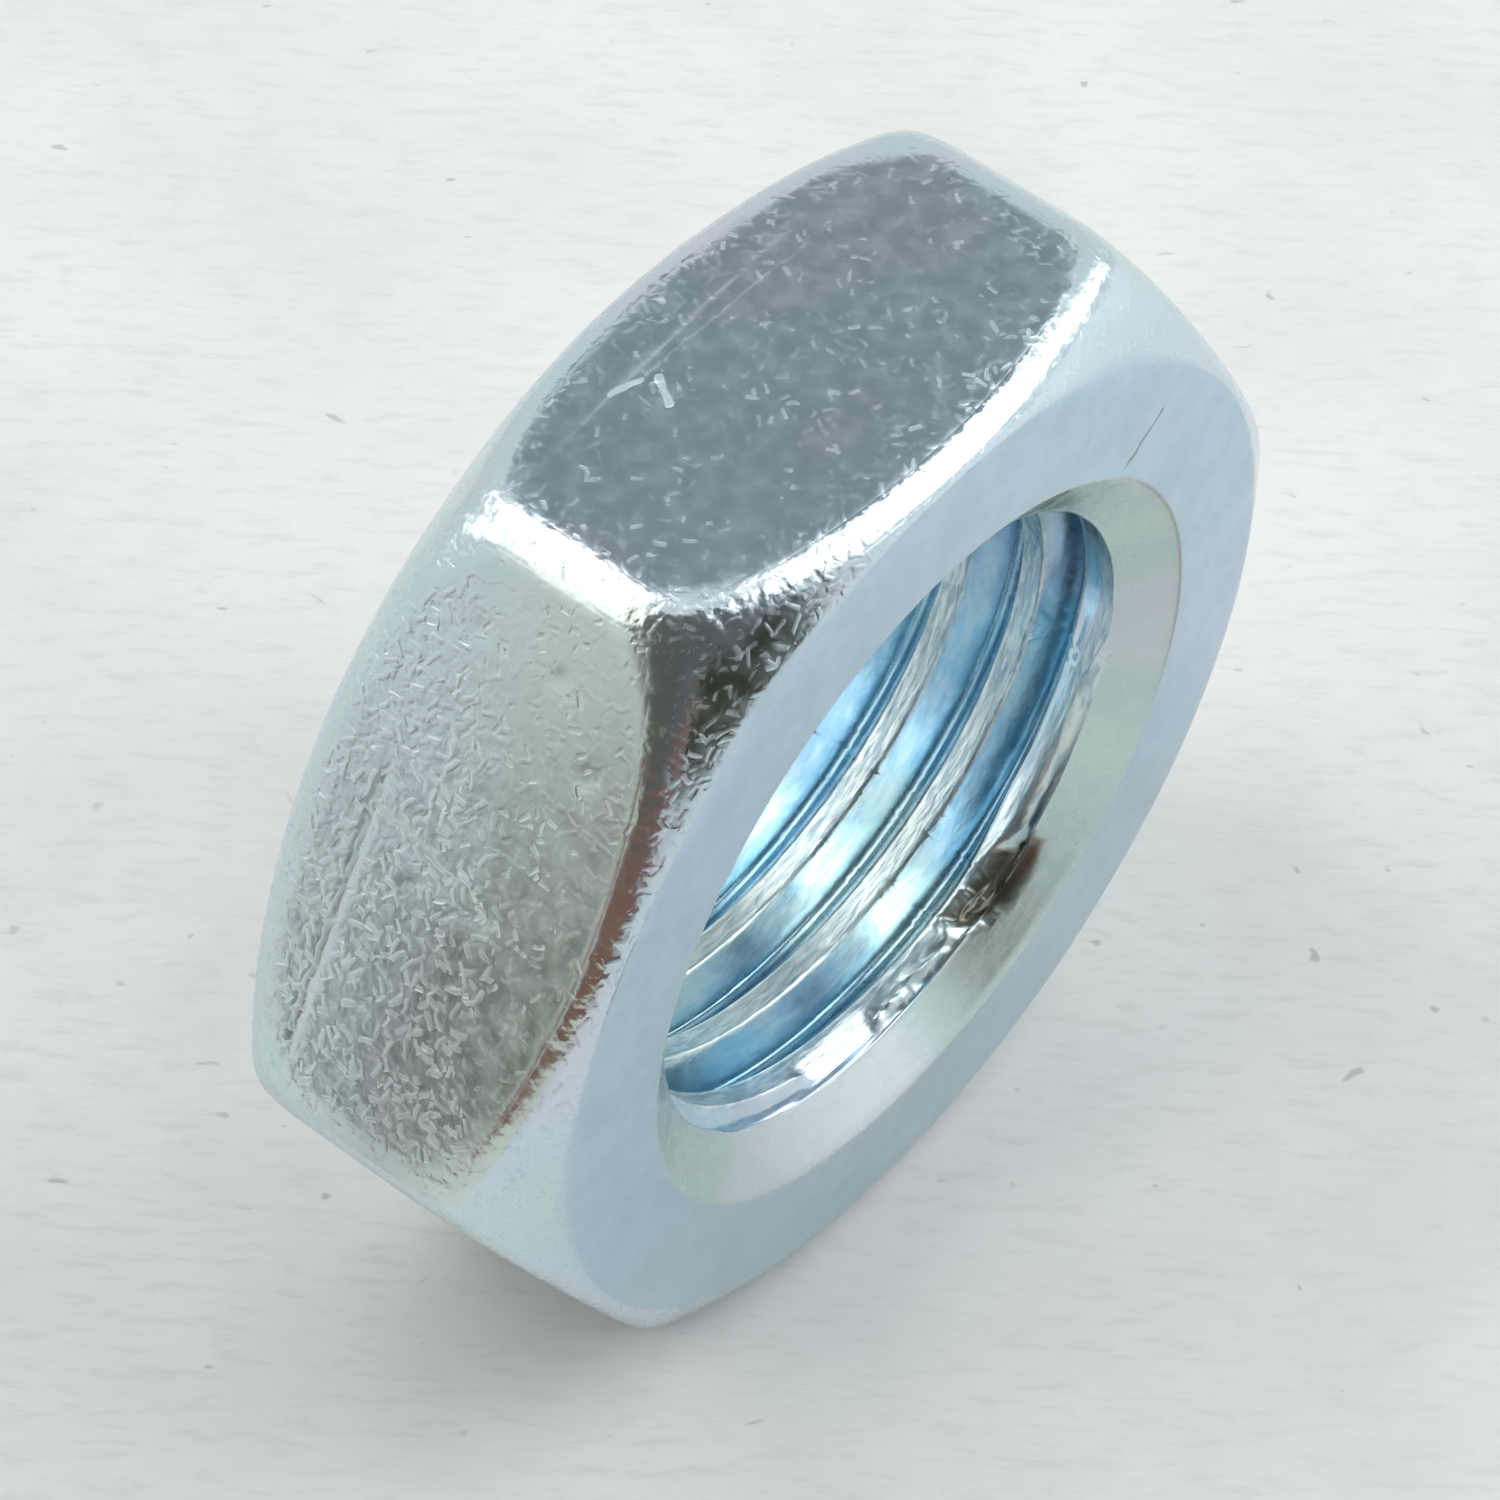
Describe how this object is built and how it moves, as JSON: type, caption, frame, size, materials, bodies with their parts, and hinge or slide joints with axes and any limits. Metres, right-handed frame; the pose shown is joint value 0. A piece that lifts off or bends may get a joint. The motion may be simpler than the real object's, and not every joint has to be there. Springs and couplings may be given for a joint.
{
  "type": "jam nut",
  "caption": "Thin hexagon jam nut with a right-hand threaded bore, countersunk at both ends, for locking a full nut or a threaded rod.",
  "frame": {"origin": "centre of the bore at half the nut's thickness", "axes": "+Y along the bore axis, +Z normal to the top wrench flat, +X towards the corner between the two right-hand flats. The nut stands on its -Z flat."},
  "size_m": [0.0364, 0.011, 0.032],
  "materials": {
    "zinc_plate": "bright zinc plating with a thin blue-clear passivation, slightly worn by tumbling"
  },
  "bodies": {
    "root": {"jam_nut": "zinc_plate"}
  },
  "joints": []
}
